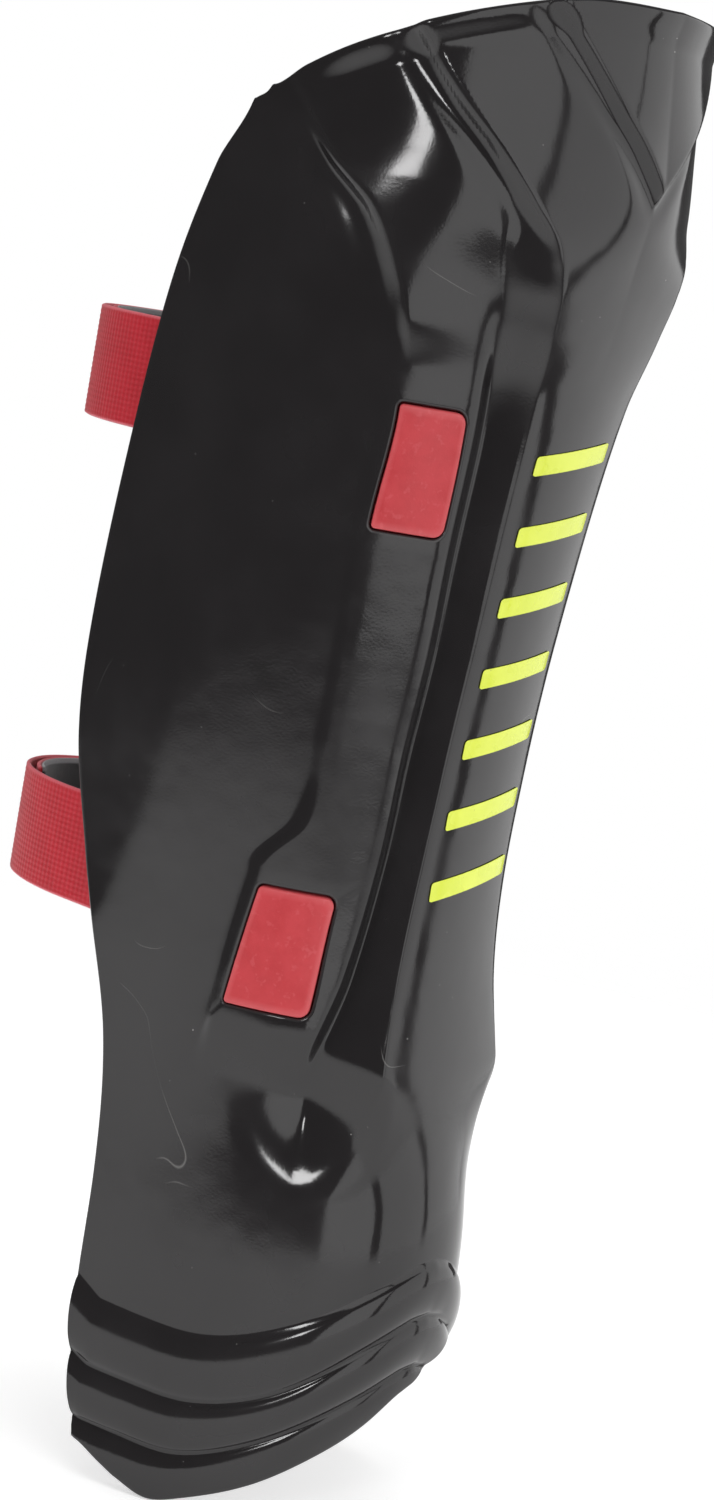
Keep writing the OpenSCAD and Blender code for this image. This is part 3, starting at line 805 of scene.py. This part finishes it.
def hook_patches(name):
    u0, u1, z0, z1 = PATCHES[name]
    shape = Shape()
    for side in (-1, 1):
        def place(p, q, h):
            return skin(u0 + (u1 - u0) * p, z0 + (z1 - z0) * q, h, side, plain)

        edge = rounded_edge(-WALL - PATCH_CLEAR, -WALL - FOAM_GAP + 0.15, 0.2)
        plate(shape, place, ((u1 - u0) * SHELL_GIRTH, z1 - z0), (3, 3), edge, counts=(16, 16))
    finish_piece(shape.build(f"hook_patches_{name}", HOOK), "patch", "guard", f"patch_{name}")


for level in LEVELS:
    for side_name in SIDES:
        plug(level, side_name)
        clamp(level, side_name)
for name in PATCHES:
    hook_patches(name)


# ---------------------------------------------------------------- straps
HOOK_FROM = 78
LOOP_START = 14
INNER_DROP = STRAP_THICK + LINING_THICK + 0.5
WEAVE = (1.9, 1.45)
WEAVE_RISE = 0.2


def loop_point(level, t, e, d):
    """Point of the loop behind the calf, t degrees round it, e above its middle, d inside its line."""
    a = wing_x(level, HINGE_Y[level]) / math.cos(math.radians(LOOP_START))
    b = LOOP_REACH / (1 - math.sin(math.radians(LOOP_START)))
    c, s = np.cos(np.radians(t)), np.sin(np.radians(t))
    n = np.hypot(c * b, s * a)
    x = -a * c + d * c * b / n
    y = HINGE_Y[level] + b * (s - math.sin(math.radians(LOOP_START))) - d * s * a / n
    return np.stack([x, y, STRAP_Z[level] + e + 0 * t], -1)


class Rail:
    """The outer face of one strap half as a function of length along it and height across it."""

    def __init__(self, level, outer):
        side = -1 if outer else 1
        i = np.linspace(0, RUN_STATIONS, 160)
        ends = (LOOP_START, OUTER_END) if outer else (180 - LOOP_START, INNER_END)
        t = np.linspace(*ends, 200)
        drop = 0 * t if outer else INNER_DROP * (1 - smooth(118, 160, t))
        lines = []
        for e in (-STRAP_WIDTH / 2, 0, STRAP_WIDTH / 2):
            line = np.concatenate([run_point(level, side, i, e, 0), loop_point(level, t[1:], e, drop[1:])])
            lines.append(line)
        length = np.concatenate([[0], np.cumsum(np.linalg.norm(np.diff(lines[1], axis=0), axis=1))])
        self.end = length[-1]
        self.hinge = length[len(i) - 1]
        self.t = np.concatenate([0 * i + t[0], t[1:]])
        self.s = np.linspace(0, self.end, int(self.end * 2))
        kernel = np.exp(-np.linspace(-2, 2, 17) ** 2)
        kernel /= kernel.sum()
        self.lines = []
        for line in lines:
            even = np.stack([np.interp(self.s, length, line[:, k]) for k in range(3)], -1)
            padded = np.concatenate([2 * even[0] - even[8:0:-1], even, 2 * even[-1] - even[-2:-10:-1]])
            self.lines.append(np.stack([np.convolve(padded[:, k], kernel, "valid") for k in range(3)], -1))
        turn = 1 if outer else -1
        self.length_at = lambda angle: np.interp(turn * angle, turn * self.t, length)
        self.out = -1 if outer else 1

    def along(self, line, s):
        return np.stack([np.interp(s, self.s, line[:, k]) for k in range(3)], -1)

    def at(self, s, e, d):
        """Points at length s, height e and depth d below the outer face."""
        low, mid, high = (self.along(line, s) for line in self.lines)
        x = (e / (STRAP_WIDTH / 2))[..., None]
        tangent = self.along(self.lines[1], s + 0.5) - self.along(self.lines[1], s - 0.5)
        across = (high - low) + 2 * x * (high + low - 2 * mid)
        normal = np.cross(tangent, across)
        normal *= self.out / np.maximum(np.linalg.norm(normal, axis=-1, keepdims=True), 1e-9)
        face = mid + (high - low) / 2 * x + (high + low - 2 * mid) / 2 * x * x
        return face - normal * np.asarray(d)[..., None]


def ribbon(shape, rail, s, half_width, top, bottom, texture=None, across=84):
    """A strip along a rail between depths top and bottom, with rounded long edges and square ends."""
    e = half_width * np.sin(np.linspace(-1, 1, across) * math.pi / 2) if across < 40 else (
        np.linspace(-half_width, half_width, across))
    s, e = np.meshgrid(s, e, indexing="ij")
    edge = 0.6
    swell = np.sqrt(1 - np.clip((np.abs(e) - half_width + edge) / edge, 0, 1) ** 2)
    middle, half = (top + bottom) / 2, (bottom - top) / 2 * swell
    # texture gives the weave's rise and its painted highlight
    rise, wear = texture(s, e) if texture else (0 * s, 0 * s)
    lie = np.stack([s, e, 0 * s], -1)
    front = shape.add(rail.at(s, e, middle - half - rise), lie, wear)
    back = shape.add(rail.at(s, e, middle + half + rise)[:, 1:-1], lie[:, 1:-1] + (0, 0, 3), wear[:, 1:-1])
    shape.quads(np.concatenate([front, back[:, ::-1]], 1), wrap=True)
    for end in (0, -1):
        shape.quads(np.stack([front[end, 1:-1], back[end]]))
        shape.faces.append([[int(v) for v in (front[end, 0], front[end, 1], back[end, 0])],
                            [int(v) for v in (front[end, -1], back[end, -1], front[end, -2])]])


def weave(s, e):
    """Height and painted highlight of the webbing's diamond weave, with a cord along each edge: raised knots
    and cords are painted lighter.
    """
    x, y = s / WEAVE[0], e / WEAVE[1]
    knots = np.cos(math.pi * (x + y)) * np.cos(math.pi * (x - y))
    body = 1 - smooth(STRAP_WIDTH / 2 - 1.5, STRAP_WIDTH / 2 - 0.9, np.abs(e))
    cord = 0.4 * np.cos(2 * math.pi * s / 1.3)
    level = knots * body + cord * (1 - body)
    return WEAVE_RISE / 2 * (np.sign(level) * np.abs(level) ** 0.7 - 1), np.clip(level, 0, 1)


def seam(shape, rail, s, e, turn):
    """Row of stitches on a strap's outer face: short beads along the strap or, with turn, across it."""
    for a, b in zip(s, e):
        ring = np.linspace(0, 2 * math.pi, 8, endpoint=False)
        loops = []
        for reach, fat in ((-1.2, 0.05), (-1.0, 0.26), (-0.4, 0.34), (0.4, 0.34), (1.0, 0.26), (1.2, 0.05)):
            side = fat * np.cos(ring)
            sa, ea = (a + side, b + reach + 0 * side) if turn else (a + reach + 0 * side, b + side)
            loops.append(shape.add(rail.at(sa, ea, -0.05 - fat * np.sin(ring))))
        shape.quads(np.stack(loops), wrap=True)
        for end in (0, -1):
            shape.cap(loops[end], shape_centre(shape, loops[end]))


def shape_centre(shape, ring):
    return np.concatenate(shape.points)[ring].mean(0)


def strap_half(level, outer):
    rail = Rail(level, outer)
    name, half = ("left", "outer") if outer else ("right", "inner")
    body = f"{level}_{half}_half"
    x = (-1 if outer else 1) * wing_x(level, HINGE_Y[level])
    fine_from = rail.hinge - 14
    s = np.concatenate([np.arange(0, fine_from, 1.6), np.arange(fine_from, rail.end, 0.38), [rail.end]])

    shape = Shape()
    ribbon(shape, rail, s, STRAP_WIDTH / 2, 0, STRAP_THICK, weave)
    piece = shape.build(f"webbing_{level}_{half}", WEBBING)
    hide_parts(f"run_{level}_{name}", f"web_{level}_{name}")
    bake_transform(piece)

    shape = Shape()
    if outer:
        first = float(rail.length_at(HOOK_FROM))
        width = STRAP_WIDTH / 2 - 0.8
        ribbon(shape, rail, np.linspace(first, rail.end - 0.6, 60), width, STRAP_THICK,
               STRAP_THICK + LINING_THICK, across=30)
        piece = shape.build(f"hook_tape_{level}", HOOK)
        finish_piece(piece, "lining", body, f"hook_{level}_left")
        shape = Shape()
        rows = np.arange(first + 3, rail.end - 3, 3.3)
        for e in (-width + 1.6, width - 1.6):
            seam(shape, rail, rows, 0 * rows + e, False)
        columns = np.arange(-width + 4, width - 3, 3.3)
        for along in (first + 1.6, rail.end - 2.4):
            seam(shape, rail, 0 * columns + along, columns, True)
        finish_piece(shape.build(f"stitching_{level}", THREAD), "webbing", body)
        return
    first = float(rail.hinge)
    ribbon(shape, rail, np.linspace(first, rail.end - 0.4, 110), STRAP_WIDTH / 2, STRAP_THICK,
           STRAP_THICK + LINING_THICK, across=30)
    piece = shape.build(f"loop_lining_{level}", LINING)
    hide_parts(f"lining_{level}_right")
    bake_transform(piece)


for level in LEVELS:
    for outer in (True, False):
        strap_half(level, outer)


# ---------------------------------------------------------------- foam pads
PADS = {"knee": (0.5, 309, 400), "shin": (0.52, 181, 255), "ankle": (0.52, 0, 92)}
PAD_TAPER = (0.96, 0.93)


def pad_point(reach, z0, z1, a, t, depth):
    """Point of a pad: a is -1 to 1 round it, t 0 to 1 up it, depth 0 at the shell and 1 at the leg."""
    shrink_u, shrink_t = 1 - (1 - PAD_TAPER[0]) * depth, 1 - (1 - PAD_TAPER[1]) * depth
    u = a * reach * shrink_u
    edge = np.where(u > 0, curve(BOTTOM_INNER, np.abs(u)), curve(BOTTOM_OUTER, np.abs(u)))
    low = np.maximum(z0, edge + 8)
    high = np.minimum(z1, curve(TOP, np.abs(u)) - 12)
    z = (low + high) / 2 + (high - low) * (t - 0.5) * shrink_t
    x, y = plain(np.abs(u), z)
    nx, ny = outward(np.abs(u), z)
    off = -WALL - FOAM_GAP - FOAM * depth
    sign = np.where(u < 0, -1, 1)
    return np.stack([sign * (x + off * nx), y + off * ny, z], -1)


PAD_VOXEL = 0.0022
PAD_PRESSURE = 4
PAD_FRAMES = 20
PAD_TRAVEL = 0.0008
CHANNEL_DEPTH = 0.0006
CHANNEL_WIDTH = 0.0014
CHANNELS_AT = (0.25, 0.5, 0.75)
PAD_RADIUS = 45


def coordinates(mesh):
    values = np.empty(len(mesh.vertices) * 3, np.float32)
    mesh.vertices.foreach_get("co", values)
    return values.reshape(-1, 3).astype(float)


def apply_modifiers(piece):
    graph = bpy.context.evaluated_depsgraph_get()
    mesh = bpy.data.meshes.new_from_object(piece.evaluated_get(graph))
    piece.modifiers.clear()
    piece.data = mesh


def inflate(piece):
    """Cloth simulation of the sewn cover round its foam, with its travel capped."""
    remesh = piece.modifiers.new("cells", "REMESH")
    remesh.mode = "VOXEL"
    remesh.voxel_size = PAD_VOXEL
    apply_modifiers(piece)
    start = coordinates(piece.data)
    cloth = piece.modifiers.new("cover", "CLOTH")
    cloth.settings.use_pressure = True
    cloth.settings.uniform_pressure_force = PAD_PRESSURE
    cloth.settings.effector_weights.gravity = 0
    cloth.point_cache.frame_start, cloth.point_cache.frame_end = 1, PAD_FRAMES
    for frame in range(1, PAD_FRAMES + 1):
        bpy.context.scene.frame_set(frame)
    graph = bpy.context.evaluated_depsgraph_get()
    moved = coordinates(piece.evaluated_get(graph).data) - start
    piece.modifiers.clear()
    bpy.context.scene.frame_set(1)
    travel = np.linalg.norm(moved, axis=1, keepdims=True)
    start = start + moved * np.minimum(1, PAD_TRAVEL / np.maximum(travel, 1e-9))
    piece.data.vertices.foreach_set("co", start.astype(np.float32).ravel())
    piece.data.update()
    smooth_skin = piece.modifiers.new("skin", "SUBSURF")
    smooth_skin.levels = smooth_skin.render_levels = 1
    apply_modifiers(piece)


def sew_channels(piece):
    """Presses level sewn channels into a pad's cover and marks where each point lies on the cloth."""
    mesh = piece.data
    points = coordinates(mesh)
    normals = np.array([v.normal for v in mesh.vertices])
    low, high = points[:, 2].min(), points[:, 2].max()
    dip = sum(np.exp(-((points[:, 2] - low - (high - low) * t) / CHANNEL_WIDTH) ** 2) for t in CHANNELS_AT)
    points -= normals * (CHANNEL_DEPTH * dip)[:, None]
    mesh.vertices.foreach_set("co", points.astype(np.float32).ravel())
    lie = np.stack([np.arctan2(points[:, 0], -points[:, 1]) * PAD_RADIUS, points[:, 2] * 1000, 0 * dip], -1)
    # the channel depth goes into the layer that carries the painted highlight on other parts; the pad's
    # finish does not read it
    marks = (("lie", "FLOAT_VECTOR", "vector", lie), ("wear", "FLOAT", "value", dip))
    for mark, kind, field, values in marks:
        layer = mesh.attributes.get(mark) or mesh.attributes.new(mark, kind, "POINT")
        layer.data.foreach_set(field, values.astype(np.float32).ravel())
    mesh.polygons.foreach_set("use_smooth", [True] * len(mesh.polygons))
    mesh.update()


def pad(name):
    reach, z0, z1 = PADS[name]
    size = (reach * 2 * PAD_GIRTH, z1 - z0)

    def place(p, q, h):
        return pad_point(reach, z0, z1, 2 * p - 1, q, h)

    edge = [(-1.6, 0.17, 0), (-1.1, 0.25, 0), (-1.0, 0.5, 0), (-1.1, 0.75, 0), (-1.6, 0.83, 0)]
    shape = Shape()
    plate(shape, place, size, (8, 8), edge, counts=(64, 30), rings=14)
    piece = shape.build(f"foam_pad_{name}", PAD)
    inflate(piece)
    sew_channels(piece)
    if not piece.data.materials:
        piece.data.materials.append(PAD)
    finish_piece(piece, "pad", "guard", f"pad_{name}")


for name in PADS:
    pad(name)


# ---------------------------------------------------------------- crest mark
MARK_COUNT = 7
MARK_FROM, MARK_RISE = 174, 112
MARK_WIDTH = 5.2
MARK_SLANT = 26
MARK_THICK = 0.25


def crest_mark():
    """Plain slanted bars along the crest, as a raised print."""
    shape = Shape()
    for k in range(MARK_COUNT):
        z = MARK_FROM + MARK_RISE * k / (MARK_COUNT - 1)
        reach = 0.78 * float(round_at(curve(CREST, z), z))

        def place(p, q, h):
            u = reach * (2 * p - 1)
            height = z + MARK_WIDTH * (q - 0.5) + MARK_SLANT * u
            point = skin(np.abs(u), height, h + 0.12)
            point[..., 0] *= np.where(u < 0, -1, 1)
            return point

        size = (reach * SHELL_GIRTH * 2, MARK_WIDTH)
        plate(shape, place, size, (0.9, 0.9), rounded_edge(MARK_THICK, 0, 0.1), counts=(40, 10), rings=3)
    finish_piece(shape.build("crest_mark_bars", INK), "bars", "guard", "crest_bars")


crest_mark()

# ---------------------------------------------------------------- stage
FLOOR_RADIUS = 0.95


def floor_finish():
    """White floor that fades out to the white backdrop at its rim."""
    f = Finish("pale_floor", Base_Color=(0.9, 0.9, 0.9), Roughness=0.7, Emission_Color=(1.0, 1.0, 1.0),
               Emission_Strength=0.45)
    far = f.node("VectorMath", {0: f.place}, operation="LENGTH").outputs["Value"]
    tree = f.tree
    clear = f.node("BsdfTransparent")
    blend = f.node("MixShader", {0: f.fit(far, FLOOR_RADIUS * 0.55, FLOOR_RADIUS)})
    tree.links.new(f.surface.outputs[0], blend.inputs[1])
    tree.links.new(clear.outputs[0], blend.inputs[2])
    tree.links.new(blend.outputs[0], tree.nodes["Material Output"].inputs["Surface"])
    return f.material


def floor():
    shape = Shape()
    ring = np.linspace(0, 2 * math.pi, 96, endpoint=False)
    loops = [shape.add(np.stack([r * 1000 * np.cos(ring), r * 1000 * np.sin(ring), 0 * ring], -1))
             for r in (FLOOR_RADIUS, FLOOR_RADIUS / 2, 0.05)]
    shape.quads(np.stack(loops), wrap=True)
    shape.cap(loops[-1], np.zeros(3))
    shape.build("floor", floor_finish())


def backdrop():
    """World that is white to the eye and dark in reflections."""
    world = bpy.data.worlds.new("studio")
    world.use_nodes = True
    tree = world.node_tree
    seen = tree.nodes.new("ShaderNodeLightPath")
    tone = tree.nodes.new("ShaderNodeMix")
    tone.data_type = "RGBA"
    tree.links.new(seen.outputs["Is Camera Ray"], tone.inputs["Factor"])
    tone.inputs["A"].default_value = (0.10, 0.10, 0.10, 1)
    tone.inputs["B"].default_value = (1.0, 1.0, 1.0, 1)
    tree.links.new(tone.outputs["Result"], tree.nodes["Background"].inputs["Color"])
    bpy.context.scene.world = world
    bpy.context.scene.view_settings.view_transform = "Standard"


def softbox(name, azimuth, height, distance, size, glow, aim=0.2, gloss=True):
    """Area light at an azimuth in degrees round the guard; glow is how bright the shell reflects it."""
    light = bpy.data.lights.new(name, "AREA")
    light.shape = "RECTANGLE"
    light.size, light.size_y = size
    light.energy = glow * math.pi * size[0] * size[1]
    obj = bpy.data.objects.new(name, light)
    bpy.context.scene.collection.objects.link(obj)
    turn = math.radians(azimuth)
    place = Vector((distance * math.sin(turn), -distance * math.cos(turn), height))
    obj.location = place
    obj.rotation_euler = (Vector((0, 0, aim)) - place).to_track_quat("-Z", "Y").to_euler()
    obj.visible_camera = False
    obj.visible_glossy = gloss
    return obj


floor()
backdrop()
softbox("front_left", -32, 0.45, 1.5, (1.0, 1.3), 1.6)
softbox("front_right", 14, 0.45, 1.5, (1.25, 1.3), 1.4)
softbox("right", 62, 0.45, 1.5, (1.25, 1.3), 1.4)
softbox("key", -70, 0.52, 1.2, (0.16, 0.22), 16)
softbox("left_fill", -110, 0.5, 1.4, (1.0, 1.0), 2.2, gloss=False)
softbox("top_fill", 0, 1.6, 0.2, (1.6, 1.6), 1.6, gloss=False)
softbox("rear_fill", 180, 0.9, 1.5, (1.2, 0.8), 2.0, gloss=False)

# ---------------------------------------------------------------- camera
AZIMUTH, DISTANCE, EYE_HEIGHT, ROLL_DEGREES, LENS = -55, 1.0, 0.330, 10, 91
TARGET = Vector((0, -0.018, 0.199))


def add_camera():
    az = math.radians(AZIMUTH)
    eye = TARGET + DISTANCE * Vector((math.sin(az), -math.cos(az), 0))
    eye.z = EYE_HEIGHT
    forward = (TARGET - eye).normalized()
    right = forward.cross(Vector((0, 0, 1))).normalized()
    up = right.cross(forward)
    c, s = math.cos(math.radians(ROLL_DEGREES)), math.sin(math.radians(ROLL_DEGREES))
    right, up = right * c + up * s, up * c - right * s
    data = bpy.data.cameras.new("camera")
    data.lens = LENS
    camera = bpy.data.objects.new("camera", data)
    bpy.context.scene.collection.objects.link(camera)
    camera.matrix_world = Matrix((right, up, -forward)).transposed().to_4x4()
    camera.location = eye
    bpy.context.scene.camera = camera


add_camera()
